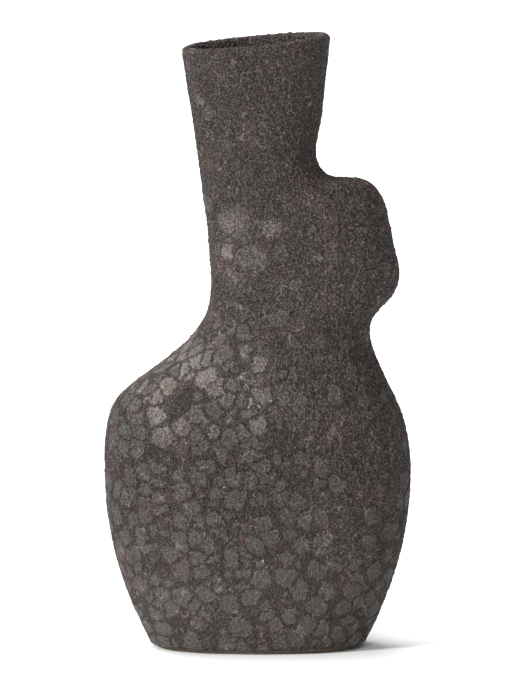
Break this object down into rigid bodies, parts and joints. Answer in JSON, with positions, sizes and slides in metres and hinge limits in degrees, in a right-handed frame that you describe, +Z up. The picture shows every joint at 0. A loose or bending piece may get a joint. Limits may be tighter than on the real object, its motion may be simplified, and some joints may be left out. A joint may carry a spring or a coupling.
{
  "type": "vase",
  "caption": "Flattened oval stoneware vase with a hollow side lobe, a flared slanted neck and a dark crusty lava glaze, built from clay slabs joined with slip.",
  "frame": {"origin": "middle of the standing face, on the surface the vase stands on", "axes": "+Z up through the mouth; +X across the wide front, towards the side lobe; -Y is the side the front looks to"},
  "size_m": [0.1595, 0.094, 0.3199],
  "materials": {
    "bare_clay": "matt, fine-grained, unglazed",
    "slip": "matt, unglazed",
    "crusty_glaze": "matt, pebbled and flaked lava glaze",
    "liner_glaze": "satin, smooth"
  },
  "bodies": {
    "root": {"floor_slab": "bare_clay", "floor_seam": "slip", "front_shell": "bare_clay", "back_shell": "bare_clay", "left_seam": "slip", "right_seam": "slip", "neck_seam": "slip", "neck": "bare_clay", "outer_glaze": "crusty_glaze", "inner_glaze": "liner_glaze"}
  },
  "joints": []
}
